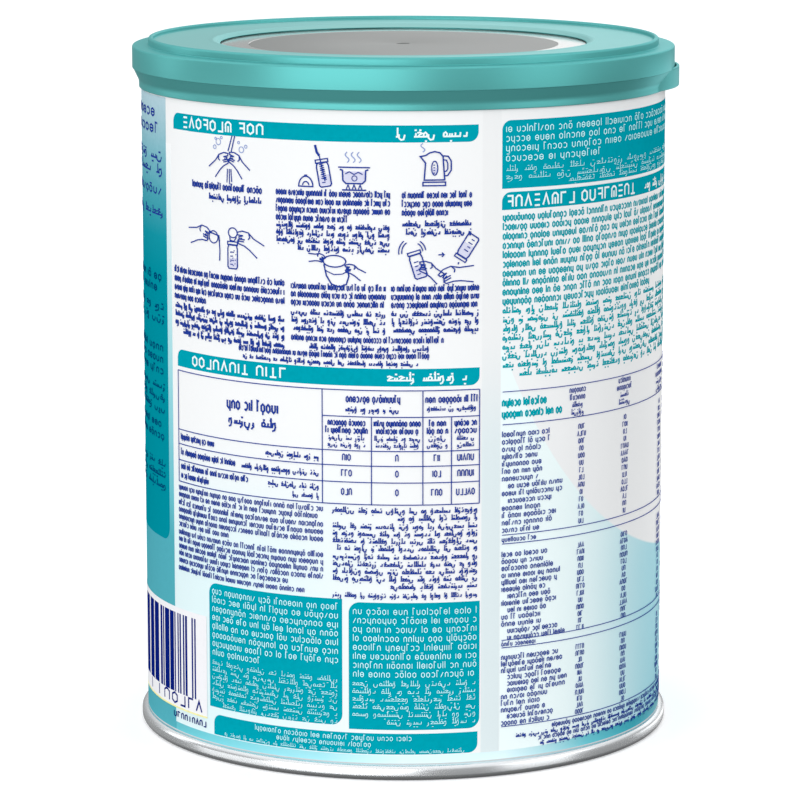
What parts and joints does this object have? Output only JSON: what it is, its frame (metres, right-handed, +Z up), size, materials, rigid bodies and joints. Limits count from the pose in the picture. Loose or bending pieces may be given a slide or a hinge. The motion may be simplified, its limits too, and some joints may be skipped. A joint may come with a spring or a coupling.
{
  "type": "milk powder tin",
  "caption": "Round printed steel tin for milk powder, with a seamed steel base and a teal press-on plastic lid that has a thumb tab.",
  "frame": {"origin": "on the tin's axis, at the surface that the tin stands on", "axes": "+Z up along the tin's axis, +X towards the lid's thumb tab, -Y towards the picture's camera"},
  "size_m": [0.1326, 0.1314, 0.1689],
  "materials": {
    "printed_wall": "gloss print on tinplate: white fields, teal blocks and fine navy lines",
    "steel": "bright rolled steel",
    "lid_plastic": "semi-gloss moulded teal",
    "pale_plastic": "pale satin plastic",
    "grey_disc": "fine-grained grey"
  },
  "bodies": {
    "root": {"tin_body": "printed_wall", "base_end": "steel", "lid": "lid_plastic", "centre_ring": "pale_plastic", "centre_disc": "grey_disc"}
  },
  "joints": []
}
